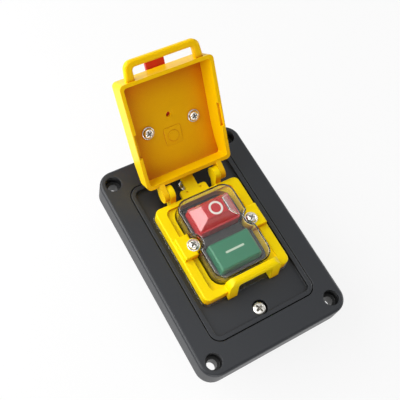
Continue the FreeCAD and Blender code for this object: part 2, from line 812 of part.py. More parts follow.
def lid_loop():
    """The loop handle: a rounded bow on the free end, beside the rim."""
    root_y = lid_free_y + lid_wall / 2
    end_y = lid_free_y - loop_reach
    z0 = lid_rim_z + loop_offset
    z1 = z0 + loop_thickness
    bow = [(-loop_base_half, root_y), (-loop_top_half, end_y), (loop_top_half, end_y),
           (loop_base_half, root_y)]
    loop = prism(bow, [0, loop_corner_r, loop_corner_r, 0], z0, z1)
    hole = rect(-loop_open_half, loop_open_half, end_y + loop_bar, root_y + over)
    loop = loop.cut(prism(hole, [loop_open_r, loop_open_r, 0, 0], z0 - over, z1 + over))
    long_edges = [e for z in (z0, z1) for e in level_edges(loop, z) if e.BoundBox.YMin < root_y - loop_edge_r]
    return loop.makeFillet(loop_edge_r, long_edges)


def make_lid_cover():
    lid = rounded_lid().cut(lid_form(lid_wall, lid_inside_z, lid_floor))
    pad_y = lid_hinge_wall_y - lid_pad_from_hinge
    half = lid_pad_size / 2
    pad = prism(rect(-half, half, pad_y - half, pad_y + half), over, lid_inside_z - lid_pad_height,
                lid_inside_z + lid_floor / 2)
    ring = upright(0, pad_y, lid_inside_z - 2 * lid_pad_height, lid_inside_z + lid_floor / 2, lid_pad_ring_d)
    lid = joined([lid, lid_loop(), pad, ring] + both_sides(lid_ear()))
    pocket = rect(-frame_boss_half - lid_boss_gap, frame_boss_half + lid_boss_gap,
                  frame_boss_front - lid_boss_gap, frame_boss_back + lid_boss_gap)
    cuts = [prism(pocket, 0, lid_rim_z - over, boss_top_z + lid_boss_gap)]
    ear_in = hinge_frame_ear_in + hinge_frame_ear + hinge_ear_gap
    bore_end = ear_in + hinge_pin_depth
    cuts += both_sides(crossbar(ear_in - over, bore_end, hinge_y, hinge_z, hinge_pin_d + 2 * hinge_run_gap))
    cuts += [upright(x, y, lid_inside_z - over, lid_back_z + over, screw_d + 2 * screw_hole_gap)
             for x, y in lid_screws]
    cuts.append(upright(0, lid_hinge_wall_y - lid_peephole_from_hinge, lid_inside_z - over, lid_back_z + over,
                        lid_peephole_d))
    for cut in cuts:
        lid = lid.cut(cut)
    return lid


# Strike pad and its screws
def make_strike_pad():
    hinge_end = lid_hinge_wall_y - strike_from_hinge
    free_end = lid_free_y + strike_from_free
    top_z = lid_back_z + strike_height
    pad = prism(rect(-strike_half, strike_half, free_end, hinge_end), strike_corner_r, lid_inside_z, top_z)
    dome = Part.makeSphere(strike_dome_r, V(0, (hinge_end + free_end) / 2, top_z - strike_dome_r))
    pad = pad.common(dome)
    brow = [e for e in pad.Edges if e.BoundBox.ZMin > lid_back_z]
    pad = pad.makeFillet(strike_edge_r, brow)
    tab = rect(-strike_tab_half, strike_tab_half, lid_free_y - strike_tab_reach, free_end + strike_corner_r)
    tab = prism(tab, [strike_tab_r, strike_tab_r, 0, 0], lid_back_z, lid_back_z + strike_tab_thickness)
    pad = joined([pad, tab]).cut(rounded_lid())
    depth = lid_back_z + strike_height - screw_head_h
    holes = [upright(x, y, lid_inside_z, depth, screw_d + 2 * screw_thread_gap) for x, y in lid_screws]
    return pad.cut(Part.makeCompound(holes))


def make_lid_screws():
    length = lid_floor + strike_height - screw_head_h - screw_hole_gap
    return [pan_screw(x, y, lid_inside_z, -1, screw_head_d, screw_head_h, screw_d, length)
            for x, y in lid_screws]


# Switch body
def make_switch_body():
    edge = (-body_half, body_half, -body_front, body_back)
    block = prism(rect(*edge), body_corner_r, body_bottom_z, head_bottom_z)
    inner_r = body_corner_r - body_wall
    shell = block.cut(prism(grown(*edge, -body_wall), inner_r, body_bottom_z - over, head_bottom_z + over))
    bosses = [upright(x, y, body_bottom_z, head_bottom_z, body_screw_boss_d).common(block)
              for x, y in body_screws]
    shell = joined([shell] + bosses)
    holes = [upright(x, y, body_bottom_z - over, head_bottom_z + over, body_screw_d + 2 * screw_hole_gap)
             for x, y in body_screws]
    return shell.cut(Part.makeCompound(holes))


def terminal_slots():
    """The slots that the terminals pass through, each its blade's section and a small clearance."""
    gap = blade_slot_gap
    slots = []
    for side, y in main_poles:
        x0, x1 = sorted((side * terminal_outer_x, side * (terminal_outer_x - metal)))
        slots.append(grown(x0, x1, y - blade_width / 2, y + blade_width / 2, gap))
    for side in (-1, 1):
        x0, x1 = sorted((side * stop_terminal_x, side * (stop_terminal_x - metal)))
        slots.append(grown(x0, x1, stop_y - blade_width / 2, stop_y + blade_width / 2, gap))
    slots.append(grown(-blade_width / 2, blade_width / 2, coil_terminal_y, coil_terminal_y + metal, gap))
    return slots


def make_terminal_base():
    edge = rect(-body_half, body_half, -body_front, body_back)
    solids = [prism(edge, body_corner_r, base_bottom_z, body_bottom_z)]
    low_z = base_bottom_z - barrier_height
    rib = prism(rect(barrier_x - barrier_thickness, barrier_x, -barrier_front, start_y + contact_pitch), 0,
                low_z, base_bottom_z)
    half = barrier_thickness / 2
    cross = prism(rect(barrier_x - half, body_half - body_wall, start_y - half, start_y + half), 0,
                  low_z, base_bottom_z)
    solids += both_sides(rib) + both_sides(cross)
    base = joined(solids)
    cuts = [prism(slot, 0, low_z, body_bottom_z + over) for slot in terminal_slots()]
    cuts += [upright(x, y, base_bottom_z - over, body_bottom_z + over, body_screw_d + 2 * screw_hole_gap)
             for x, y in body_screws]
    return base.cut(Part.makeCompound(cuts))


def make_body_screws():
    length = ledge_z - base_bottom_z - screw_hole_gap
    return [pan_screw(x, y, base_bottom_z, -1, body_screw_head_d, body_screw_head_h, body_screw_d, length)
            for x, y in body_screws]


# Electromagnet
yoke_front = start_y - armature_depth / 2
yoke_back = start_y + armature_depth / 2
bobbin_low_z = body_bottom_z + yoke_base
bobbin_high_z = pole_z - bobbin_top_drop


def make_magnet_yoke():
    yoke = prism(rect(-armature_half, armature_half, yoke_front, yoke_back), 0, body_bottom_z, pole_z)
    slot = prism(rect(yoke_core_half, armature_half - yoke_leg, yoke_front - over, yoke_back + over), 0,
                 bobbin_low_z, pole_z + over)
    return yoke.cut(Part.makeCompound(both_sides(slot)))


def bobbin_tube(by):
    """The outline round the yoke's core, grown by a clearance or a wall."""
    return grown(-yoke_core_half, yoke_core_half, yoke_front, yoke_back, by)


def make_coil_bobbin():
    half_depth = bobbin_flange_depth / 2
    flange = rect(-bobbin_flange_half, bobbin_flange_half, start_y - half_depth, start_y + half_depth)
    tube = bobbin_tube(bobbin_gap + bobbin_wall)
    bobbin = joined([prism(flange, 0, bobbin_low_z, bobbin_low_z + bobbin_wall),
                     prism(tube, 0, bobbin_low_z, bobbin_high_z),
                     prism(flange, 0, bobbin_high_z - bobbin_wall, bobbin_high_z)])
    return bobbin.cut(prism(bobbin_tube(bobbin_gap), 0, bobbin_low_z - over, bobbin_high_z + over))


def make_coil_winding():
    half_x = bobbin_flange_half - winding_inset
    half_y = bobbin_flange_depth / 2 - winding_inset
    low_z = bobbin_low_z + bobbin_wall
    high_z = bobbin_high_z - bobbin_wall
    outer = rect(-half_x, half_x, start_y - half_y, start_y + half_y)
    winding = prism(outer, 2 * winding_inset, low_z, high_z)
    return winding.cut(prism(bobbin_tube(bobbin_gap + bobbin_wall), 0, low_z - over, high_z + over))


def make_armature():
    return prism(rect(-armature_half, armature_half, yoke_front, yoke_back), winding_inset,
                 armature_bottom_z, armature_top_z)


# Contacts of the main poles, carried by the start button
def make_contact_carrier():
    half_depth = carrier_depth / 2
    plate = prism(rect(-carrier_half, carrier_half, start_y - half_depth, start_y + half_depth), 0,
                  carrier_bottom_z, collar_z)
    half_post = carrier_post / 2
    post = prism(rect(-half_post, half_post, start_y - half_post, start_y + half_post), 0,
                 armature_top_z, carrier_bottom_z)
    inner = bridge_width / 2 + stirrup_gap
    outer = inner + stirrup
    deep = stirrup_depth / 2
    loop = prism(rect(pole_x - outer, pole_x + outer, start_y - deep, start_y + deep), 0,
                 bridge_bottom_z - stirrup, carrier_bottom_z)
    loop = loop.cut(prism(rect(pole_x - inner, pole_x + inner, start_y - half_depth, start_y + half_depth), 0,
                          bridge_bottom_z, carrier_bottom_z))
    return joined([plate, post] + both_sides(loop))


def make_contact_bridges():
    strip = prism(rect(pole_x - bridge_width / 2, pole_x + bridge_width / 2, start_y - bridge_half,
                       start_y + bridge_half), 0, bridge_bottom_z, bridge_top_z)
    studs = [upright(pole_x, start_y + end * contact_pitch / 2, bridge_bottom_z - contact_h, bridge_bottom_z,
                     contact_d) for end in (-1, 1)]
    return both_sides(joined([strip] + studs))


def make_contact_springs():
    spring = coil_spring(pole_x, start_y, bridge_top_z, carrier_bottom_z, contact_spring_d,
                         contact_spring_wire, contact_spring_turns)
    return both_sides(spring)


def spade(low, high, x0, x1, top_z):
    """A blade in the YZ plane down to the terminals' ends, with a cut tip and a detent hole."""
    shoulder_z = blade_end_z + blade_tip
    corners = [(low, top_z), (low, shoulder_z), (low + blade_tip, blade_end_z),
               (high - blade_tip, blade_end_z), (high, shoulder_z), (high, top_z)]
    hole_z = blade_end_z + blade_hole_from_tip
    hole = crossbar(x0 - over, x1 + over, (low + high) / 2, hole_z, blade_hole_d)
    return side_prism(corners, 0, x0, x1).cut(hole)


def make_main_terminals():
    terminals = []
    for side, y in main_poles:
        low, high = y - blade_width / 2, y + blade_width / 2
        x0, x1 = sorted((side * terminal_outer_x, side * (terminal_outer_x - metal)))
        blade = spade(low, high, x0, x1, fixed_pad_z)
        x0, x1 = sorted((side * (pole_x - bridge_width / 2), side * terminal_outer_x))
        pad = prism(rect(x0, x1, low, high), 0, fixed_pad_z - metal, fixed_pad_z)
        stud = upright(side * pole_x, y, fixed_pad_z, fixed_pad_z + contact_h, contact_d)
        terminals.append(joined([blade, pad, stud]))
    return terminals


# Stop circuit, opened by the stop button
plunger_foot_z = collar_z - plunger_collar - plunger_shaft
stop_bridge_top_z = plunger_foot_z + metal
stop_pad_z = stop_bridge_top_z + contact_h + contact_gap


def make_stop_plunger():
    return joined([upright(0, stop_y, collar_z - plunger_collar, collar_z, plunger_collar_d),
                   upright(0, stop_y, plunger_foot_z, collar_z, plunger_shaft_d),
                   upright(0, stop_y, plunger_foot_z - plunger_foot, plunger_foot_z, plunger_foot_d)])


def make_stop_bridge():
    half_width = bridge_width / 2
    strip = prism(rect(-stop_bridge_half, stop_bridge_half, stop_y - half_width, stop_y + half_width), 0,
                  plunger_foot_z, stop_bridge_top_z)
    stud_z = stop_bridge_top_z + contact_h
    studs = [upright(side * stop_contact_x, stop_y, stop_bridge_top_z, stud_z, contact_d) for side in (-1, 1)]
    hole_d = plunger_shaft_d + 2 * plunger_gap
    hole = upright(0, stop_y, plunger_foot_z - over, stop_bridge_top_z + over, hole_d)
    return joined([strip] + studs).cut(hole)


def make_stop_terminals():
    terminals = []
    low, high = stop_y - blade_width / 2, stop_y + blade_width / 2
    top_z = stop_pad_z + metal
    foot_z = body_bottom_z - stop_terminal_foot
    inner_x = stop_terminal_x - metal
    strips = [prism(rect(-stop_terminal_x, -inner_x, low, high), 0, foot_z, top_z),
              spade(low, high, inner_x, stop_terminal_x, top_z)]
    for side, strip in zip((-1, 1), strips):
        x0, x1 = sorted((side * stop_pad_in, side * stop_terminal_x))
        terminals.append(joined([strip, prism(rect(x0, x1, low, high), 0, stop_pad_z, top_z)]))
    return terminals


def make_coil_terminal():
    half = blade_width / 2
    blade = spade(-half, half, coil_terminal_y, coil_terminal_y + metal, body_bottom_z + coil_terminal_rise)
    blade.rotate(V(0, 0, 0), ALONG_Z, 90)
    return blade


os.makedirs("parts", exist_ok=True)

save("base_plate", make_base_plate())
save("switch_panel", make_switch_panel())
save("panel_screws", *make_panel_screws())
save("switch_head", make_switch_head())
save("start_button", make_start_button())
save("stop_button", make_stop_button())
save("start_spring", make_start_spring())
save("stop_spring", make_stop_spring())
save("splash_boot", make_splash_boot())
save("guard_frame", make_guard_frame())
save("frame_screws", *make_frame_screws())
save("hinge_pins", *make_hinge_pins())
save("lid_cover", opened(make_lid_cover()))
save("strike_pad", opened(make_strike_pad()))
save("lid_screws", *[opened(screw) for screw in make_lid_screws()])
save("switch_body", make_switch_body())
save("terminal_base", make_terminal_base())
save("body_screws", *make_body_screws())
save("magnet_yoke", make_magnet_yoke())
save("coil_bobbin", make_coil_bobbin())
save("coil_winding", make_coil_winding())
save("armature", make_armature())
save("contact_carrier", make_contact_carrier())
save("contact_bridges", *make_contact_bridges())
save("contact_springs", *make_contact_springs())
save("main_terminals", *make_main_terminals())
save("stop_plunger", make_stop_plunger())
save("stop_bridge", make_stop_bridge())
save("stop_terminals", *make_stop_terminals())
save("coil_terminal", make_coil_terminal())
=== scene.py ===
"""Looks of the emergency stop switch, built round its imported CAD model.

The CAD nodes give the moulded housing, the lid, the buttons and the works behind them. This script adds
the clear soft boot, the cross-slot screws, the coiled return springs and the marks on the buttons, and gives
every piece the material of the real one. Lengths are written in millimetres and become metres through MM.
"""
import json
import math

import bpy
import numpy as np
from mathutils import Matrix, Vector


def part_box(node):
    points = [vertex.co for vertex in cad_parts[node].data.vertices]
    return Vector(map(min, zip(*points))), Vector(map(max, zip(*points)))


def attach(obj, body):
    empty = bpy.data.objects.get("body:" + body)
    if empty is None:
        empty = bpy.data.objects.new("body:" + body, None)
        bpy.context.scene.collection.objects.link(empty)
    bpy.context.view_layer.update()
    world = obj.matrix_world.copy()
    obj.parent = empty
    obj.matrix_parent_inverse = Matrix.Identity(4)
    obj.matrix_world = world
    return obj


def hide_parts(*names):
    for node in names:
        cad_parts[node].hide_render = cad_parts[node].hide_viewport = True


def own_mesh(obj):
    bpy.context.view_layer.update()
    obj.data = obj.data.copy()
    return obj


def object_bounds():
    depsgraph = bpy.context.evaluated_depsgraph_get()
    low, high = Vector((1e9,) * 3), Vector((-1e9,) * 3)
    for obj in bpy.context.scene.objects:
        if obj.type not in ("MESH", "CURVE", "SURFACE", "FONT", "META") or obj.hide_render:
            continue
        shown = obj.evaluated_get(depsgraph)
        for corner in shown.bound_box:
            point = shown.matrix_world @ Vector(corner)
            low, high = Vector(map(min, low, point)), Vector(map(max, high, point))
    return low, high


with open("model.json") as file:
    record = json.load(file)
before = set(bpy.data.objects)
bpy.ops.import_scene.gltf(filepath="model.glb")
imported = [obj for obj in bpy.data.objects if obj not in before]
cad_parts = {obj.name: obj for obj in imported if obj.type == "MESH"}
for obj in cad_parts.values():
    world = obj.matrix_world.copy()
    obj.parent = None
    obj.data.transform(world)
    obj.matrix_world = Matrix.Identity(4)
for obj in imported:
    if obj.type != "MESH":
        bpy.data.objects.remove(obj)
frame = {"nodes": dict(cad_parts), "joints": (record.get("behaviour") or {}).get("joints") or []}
cad_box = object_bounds()
nodes = frame["nodes"]

MM = 0.001
WELD_REACH_M = 1e-7

# Frame screws, and with them the boot's scallops
FRAME_SCREW_X = 18.3
FRAME_SCREW_Y = 1.4

# Boot: a cap round the buttons, a flange under the guard frame and a hood over the stop button
BOOT_HALF = 17.4
BOOT_FRONT = -23.6
BOOT_BACK = 25.9
BOOT_CORNER_R = 7.0
BOOT_CORNER_LEAST_R = 0.5
BOOT_EDGE_R = 1.3
BOOT_EDGE_LEAST_R = 0.4
BOOT_WALL = 0.9
BOOT_FOOT_Z = 11.05
BOOT_TOP_Z = 26.0
FLANGE_HALF = 27.6
FLANGE_FRONT = -29.4
FLANGE_BACK = 30.2
FLANGE_CORNER_R = 4.5
FLANGE_HEIGHT = 0.73
FLANGE_EDGE_R = 0.6
SCALLOP_R = 4.4
SCALLOP_EASE_R = 1.8
SCALLOP_EASE_LOSS = 0.7
SCALLOP_EASE_LEAST_R = 0.3
HOOD_BASE = (12.5, 4.4, 19.3)
HOOD_TOP = (7.1, 7.5, 17.5)
HOOD_HEIGHT = 4.6
HOOD_CORNER_R = 0.6

# Rings of the boot. Close ones keep each fold crisp: heights above a fold, or shares of the way to the next
WALL_RINGS_FROM_Z = 13.0
WALL_RINGS = 7
BROW_RINGS = 9
FLANGE_EDGE_RINGS = 7
FOLD_EASE = np.array([0.0, 0.1, 0.3])
FLANGE_SHARES = (0.0, 0.01, 0.03, 0.5, 0.97, 0.99)
TOP_SHARES = np.linspace(0, 0.97, 8)[1:]
HOOD_SHARES = (0.0, 0.03, 0.1, 0.3, 0.5, 0.7, 0.9, 0.97)
CROWN_SHARES = (0.0, 0.03, 0.1, 0.4, 0.7, 1.0)

# Points on the boot's outline: the stretches of a scalloped side, then one side, one end and one corner
SIDE_PARTS = (36, 12, 64, 12, 36)
BOOT_SAMPLES = (sum(SIDE_PARTS), 60, 14)

# How far round the hood each stretch of the boot's outline looks: 0 is the middle of the hood's front edge,
# 1 its right front corner, and so on round to 5. A scallop looks past the corner that is beside it.
HOOD_LOOKS = [0.05, 0.10, 0.24, 1.0, 1.3, 1.37, 1.95, 2.05, 2.95, 3.05, 3.63, 3.70, 4.0, 4.76, 4.90, 4.95,
              4.965, 5.035, 5.05]

# Screws: a pan head with a cross slot on a threaded shank
SCREW_HEAD_D = 7.0
SCREW_HEAD_H = 2.4
SCREW_D = 3.3
SCREW_PITCH = 1.2
SLOT_LENGTH = 4.0
SLOT_WIDTH = 0.85
SLOT_DEPTH = 1.3
SLOT_FLANK = 0.2
SLOT_RAMP = 0.7
SLOT_ARM_SHARE = 0.75
HEAD_CELLS = 64
BODY_HEAD_CELLS = 28
RIM_SHARE = 0.45
DOME_POWER = 3.4
WHOLE_DOME = 1.0
DOME_SHARE = 0.78
COLLAR_STEP = 0.1
COLLAR_HEIGHT = 0.2
# How strongly painted shade darkens the step down to the collar
COLLAR_SHADE = 0.9
SEAT_SHARE = 0.97
RIM_HEIGHTS = (1.0, 0.6, 0.15, 0.0, 0.0)
THREAD_ROWS = 8
THREAD_DEPTH = 0.22
TIP_LENGTH = 0.9
TIP_SHARE = 0.12
PANEL_SCREW_HEAD_D = 8.0
PANEL_SCREW_LENGTH = 7.1
FRAME_SCREW_LENGTH = 21.65
LID_SCREW_LENGTH = 4.65
BODY_SCREW_HEAD_D = 5.0
BODY_SCREW_HEAD_H = 2.0
BODY_SCREW_D = 2.5
BODY_SCREW_PITCH = 0.9
BODY_SCREW_LENGTH = 34.0

# Where the screws sit: the seats' heights, the right lid screw in the closed lid, and the body screws' places
PANEL_SEAT_Z = 8.35
FRAME_SEAT_Z = 21.9
LID_SEAT = (14.1, 1.53, 31.94)
BASE_SEAT_Z = -26.0
PANEL_SCREW_PLACES = ((-0.25, -42.1), (0, 39.5))
BODY_SCREW_X = 21.0
BODY_SCREW_YS = (-27.0, 29.0)

# Return springs under the buttons
SPRING_WIRE = 1.0
SPRING_TURNS = 5.0
SPRING_END_TURN = 0.6
SPRING_TURN_POINTS = 48
WIRE_POINTS = 12

# Marks on the buttons
RING_OUTER_D = 7.9
RING_INNER_D = 5.5
RING_X = 0.8
RING_Y = 12.7
RING_AROUND = 96
RING_SECTION = 16
BAR_LENGTH = 11.3
BAR_WIDTH = 1.2
BAR_Y = -10.6
BAR_CORNER_R = 0.3
BAR_CORNER_LEAST_R = 0.05
BAR_SAMPLES = (6, 40, 8)
# The bar's rise from under the button's face to its flat top: inset and height in mark heights
BAR_PROFILE = ((0.0, -1.0), (0.0, 0.6), (0.06, 0.9), (0.14, 1.0), (0.4, 1.0))
MARK_HEIGHT = 0.12
MARK_SQUARENESS = 0.4

# Patterns of the materials
SLOW_TONE_MM = 14
METAL_GLOSS = (0.8, 1.25)
METAL_STRETCH = (0.2, 1.0, 1.0)
RIPPLE_MM = 9
RIPPLE_DEPTH_MM = 0.02

# The way the open lid's inner face looks: the lid's painted shade falls only on faces that look this way
LID_INSIDE_WAY = (0, -0.77, 0.64)

# Camera, fitted to the plate's corners and holes in the photograph
FRAME_PIXELS = 400
FOCAL_PIXELS = 698.2
SENSOR_MM = 36.0
CAMERA_AT = (-135.2, -99.5, 355.7)
CAMERA_RIGHT = (0.855, -0.493, 0.161)
CAMERA_DOWN = (-0.381, -0.808, -0.449)

# Light: lamps do most of it, and the room is pale where metal and the clear boot mirror it
LAMPS_AIM = (0, 5, 20)
ROOM_BRIGHT_WAY = (-0.2, 0.6, 0.77)
ROOM_BRIGHT = 0.75
ROOM_DIM = 0.45
ROOM_ON_MATT = 0.1
ROOM_TURN = (-0.3, 0.8)
FLOOR_HALF = 4000
FLOOR_GLOW = 0.85


def linear(hex_colour):
    """An sRGB hex colour as linear red, green, blue and an alpha of 1."""
    values = [int(hex_colour[i:i + 2], 16) / 255 for i in (1, 3, 5)]
    return [v / 12.92 if v <= 0.04045 else ((v + 0.055) / 1.055) ** 2.4 for v in values] + [1.0]


def add(tree, kind, inputs=(), **settings):
    """Adds one node, sets its properties, and fills or links its inputs by name or index."""
    node = tree.nodes.new(kind)
    for name, value in settings.items():
        setattr(node, name, value)
    for name, value in dict(inputs).items():
        if isinstance(value, bpy.types.NodeSocket):
            tree.links.new(value, node.inputs[name])
        else:
            node.inputs[name].default_value = value
    return node


def new_material(name):
    """An empty node material with its tree and its output node."""
    material = bpy.data.materials.new(name)
    material.use_nodes = True
    tree = material.node_tree
    tree.nodes.clear()
    return material, tree, add(tree, "ShaderNodeOutputMaterial")


def moulded(name, colour, rough, grain_mm, grain_depth_mm, edge_mm, tone=0.06, gloss_change=0.08, shine=0.5,
            painted_shade=None, reach_mm=12.0, full=0.2, none=0.75, painted_shade_way=None):
    """A moulded plastic: its tool's fine grain as bump, a slow change of tone and gloss, and edges that the
    mould rounds by edge_mm, too little for the CAD model to carry. With a shade colour, painted shade deepens
    it to that where walls within reach_mm close it in: wholly where the open share of the view is full or
    less, and not at all from the share none up, and with a shade way given, only on faces that look that
    way."""
    material, tree, output = new_material(name)
    place = add(tree, "ShaderNodeTexCoord").outputs["Object"]
    slow = add(tree, "ShaderNodeTexNoise", {"Vector": place, "Scale": 1 / (SLOW_TONE_MM * MM), "Detail": 3.0})
    dark = [c * (1 - tone) for c in linear(colour)[:3]] + [1.0]
    light = [min(1.0, c * (1 + tone)) for c in linear(colour)[:3]] + [1.0]
    shade = add(tree, "ShaderNodeMix", {0: slow.outputs["Fac"], 6: dark, 7: light}, data_type="RGBA")
    gloss = add(tree, "ShaderNodeMapRange", {"Value": slow.outputs["Fac"],
                                             "To Min": rough * (1 - gloss_change),
                                             "To Max": rough * (1 + gloss_change)})
    grain = add(tree, "ShaderNodeTexNoise", {"Vector": place, "Scale": 1 / (grain_mm * MM), "Detail": 2.0})
    edge = add(tree, "ShaderNodeBevel", {"Radius": edge_mm * MM}, samples=4)
    bump = add(tree, "ShaderNodeBump", {"Height": grain.outputs["Fac"], "Distance": grain_depth_mm * MM,
                                        "Normal": edge.outputs["Normal"]})
    # Painted shade: where walls close the surface in, its colour is darkened towards the shade colour, only
    # on faces that look the given way if one is given.
    if painted_shade:
        sky = add(tree, "ShaderNodeAmbientOcclusion", {"Distance": reach_mm * MM}, samples=8).outputs["AO"]
        shade_depth = add(tree, "ShaderNodeMapRange", {"Value": sky, "From Min": full, "From Max": none,
                                                 "To Min": 1.0, "To Max": 0.0}).outputs["Result"]
        if painted_shade_way:
            looks = add(tree, "ShaderNodeTexCoord").outputs["Normal"]
            facing = add(tree, "ShaderNodeVectorMath", {0: looks, 1: painted_shade_way}, operation="DOT_PRODUCT")
            shade_depth = add(tree, "ShaderNodeMath", {0: shade_depth, 1: facing.outputs["Value"]}, operation="MULTIPLY",
                        use_clamp=True).outputs[0]
        shade = add(tree, "ShaderNodeMix", {0: shade_depth, 6: shade.outputs[2], 7: linear(painted_shade)},
                    data_type="RGBA")
    plastic = add(tree, "ShaderNodeBsdfPrincipled", {"Base Color": shade.outputs[2],
                                                     "Roughness": gloss.outputs["Result"],
                                                     "Specular IOR Level": shine,
                                                     "Normal": bump.outputs["Normal"]})
    tree.links.new(plastic.outputs["BSDF"], output.inputs["Surface"])
    return material


def metal(name, colour, rough, scratch_mm, scratch_depth_mm, recess_shade_colour=None):
    """A plated or drawn metal: fine wavering marks along X as bump and as a change of gloss. With a recess
    shade colour, painted shade darkens it towards that where the piece's recess attribute is high."""
    material, tree, output = new_material(name)
    place = add(tree, "ShaderNodeTexCoord").outputs["Object"]
    stretch = add(tree, "ShaderNodeMapping", {"Vector": place, "Scale": METAL_STRETCH})
    marks = add(tree, "ShaderNodeTexNoise", {"Vector": stretch.outputs["Vector"],
                                             "Scale": 1 / (scratch_mm * MM), "Detail": 4.0})
    gloss = add(tree, "ShaderNodeMapRange", {"Value": marks.outputs["Fac"], "To Min": rough * METAL_GLOSS[0],
                                             "To Max": rough * METAL_GLOSS[1]})
    bump = add(tree, "ShaderNodeBump", {"Height": marks.outputs["Fac"], "Distance": scratch_depth_mm * MM})
    shell = add(tree, "ShaderNodeBsdfPrincipled", {"Base Color": linear(colour), "Metallic": 1.0,
                                                   "Roughness": gloss.outputs["Result"],
                                                   "Normal": bump.outputs["Normal"]})
    # Painted shade: the driver's recess and the step down to the collar are darkened by colour.
    if recess_shade_colour:
        shade_depth = add(tree, "ShaderNodeAttribute", attribute_name="recess").outputs["Fac"]
        painted_recess_shade = add(tree, "ShaderNodeMix", {0: shade_depth, 6: linear(colour), 7: linear(recess_shade_colour)},
                   data_type="RGBA")
        tree.links.new(painted_recess_shade.outputs[2], shell.inputs["Base Color"])
    tree.links.new(shell.outputs["BSDF"], output.inputs["Surface"])
    return material


def clear_pvc():
    """Clear soft PVC, dip moulded: it bends what is seen through its folds and mirrors the room, with a faint
    ripple. Light from lamps and from what lies under it passes straight through."""
    material, tree, output = new_material("clear_pvc")
    place = add(tree, "ShaderNodeTexCoord").outputs["Object"]
    ripple = add(tree, "ShaderNodeTexNoise", {"Vector": place, "Scale": 1 / (RIPPLE_MM * MM), "Detail": 1.0})
    bump = add(tree, "ShaderNodeBump", {"Height": ripple.outputs["Fac"], "Distance": RIPPLE_DEPTH_MM * MM})
    glass = add(tree, "ShaderNodeBsdfPrincipled", {"Base Color": linear("#FBFBFA"), "Roughness": 0.03,
                                                   "IOR": 1.3, "Transmission Weight": 1.0, "Coat Weight": 0.4,
                                                   "Coat IOR": 1.5, "Coat Roughness": 0.18,
                                                   "Normal": bump.outputs["Normal"]})
    film = add(tree, "ShaderNodeBsdfTransparent", {"Color": linear("#F7F7F5")})
    path = add(tree, "ShaderNodeLightPath")
    straight = add(tree, "ShaderNodeMath", {0: path.outputs["Is Shadow Ray"],
                                            1: path.outputs["Is Diffuse Ray"]}, operation="MAXIMUM")
    both = add(tree, "ShaderNodeMixShader", {0: straight.outputs[0], 1: glass.outputs["BSDF"],
                                             2: film.outputs["BSDF"]})
    tree.links.new(both.outputs["Shader"], output.inputs["Surface"])
    return material


# Black ABS, spark-eroded: a soft sheen that lifts the black to charcoal where it faces the light, and painted
# shade that darkens it to near black in its holes and hollows
black_abs = moulded("black_abs", "#181B20", 0.42, 0.35, 0.012, 0.8, painted_shade="#020203", reach_mm=9.0, full=0.35,
                    none=0.75)
# Yellow ABS, polished tool: strong, warm yellow with a clean highlight, and painted orange shade on faces
# that look forward where walls close them in
yellow_abs = moulded("yellow_abs", "#FFDC00", 0.32, 0.6, 0.006, 0.3, tone=0.03, shine=0.18, painted_shade="#E88000",
                     reach_mm=15.0, full=0.3, none=1.0, painted_shade_way=(0, -1, 0))
# The lid's yellow: a shaded copy of the frame's, written a shade deeper, with painted orange-brown shade
# inside its shell on faces that look the way the open lid's inner face does
lid_shaded_abs = moulded("lid_yellow_abs_painted_shade", "#FFD200", 0.32, 0.6, 0.006, 0.3, tone=0.03, shine=0.18, painted_shade="#C45E00",
                  reach_mm=40.0, full=0.4, none=1.2, painted_shade_way=LID_INSIDE_WAY)
# Red ABS of the strike pad and the stop button, polished tool
red_abs = moulded("red_abs", "#C81820", 0.25, 0.6, 0.005, 0.3)
# Green ABS of the start button, satin
green_abs = moulded("green_abs", "#1F7A58", 0.35, 0.5, 0.006, 0.3)
# Black nylon of the switch head under the boot
black_nylon = moulded("black_nylon", "#1E1F22", 0.38, 0.5, 0.008, 0.25)
# Natural nylon of the inner carriers and the bobbin
natural_nylon = moulded("natural_nylon", "#DAD6CA", 0.45, 0.6, 0.006, 0.2)
# White marking ink, hot stamped
white_ink = moulded("white_ink", "#F6EFEA", 0.4, 0.3, 0.004, 0.05)
# Pale ink of the start bar, rubbed thin so that the green shows through it
rubbed_ink = moulded("rubbed_ink", "#C9DCCB", 0.45, 0.3, 0.004, 0.05, tone=0.15)
# Bright nickel plate on the screws and pins, with painted shade in the drivers' recesses and at the collars'
# steps
nickel_plate = metal("nickel_plate", "#E4E1DA", 0.22, 0.4, 0.004, recess_shade_colour="#6A665F")
# Drawn spring wire
spring_wire = metal("spring_wire", "#B4B4B2", 0.28, 0.3, 0.004)
# Stamped, tinned brass of the blades and contacts
tinned_brass = metal("tinned_brass", "#CBBF9E", 0.3, 0.5, 0.004)
# Magnet laminations, dull blued steel
magnet_steel = metal("magnet_steel", "#6E7074", 0.45, 0.35, 0.01)
# Enamelled copper winding
copper_wire = metal("copper_wire", "#B4623A", 0.32, 0.3, 0.02)
boot_pvc = clear_pvc()

NODE_MATERIALS = {
    black_abs: ("base_plate", "switch_panel", "switch_body", "terminal_base"),
    black_nylon: ("switch_head",),
    yellow_abs: ("guard_frame",),
    lid_shaded_abs: ("lid_cover",),
    red_abs: ("strike_pad", "stop_button"),
    green_abs: ("start_button",),
    natural_nylon: ("coil_bobbin", "contact_carrier", "stop_plunger"),
    nickel_plate: ("panel_screws", "frame_screws", "lid_screws", "body_screws", "hinge_pins"),
    spring_wire: ("start_spring", "stop_spring", "contact_springs"),
    tinned_brass: ("contact_bridges", "main_terminals", "stop_bridge", "stop_terminals", "coil_terminal"),
    magnet_steel: ("magnet_yoke", "armature"),
    copper_wire: ("coil_winding",),
    boot_pvc: ("splash_boot",),
}
for material, names in NODE_MATERIALS.items():
    for name in names:
        nodes[name].data.materials.clear()
        nodes[name].data.materials.append(material)


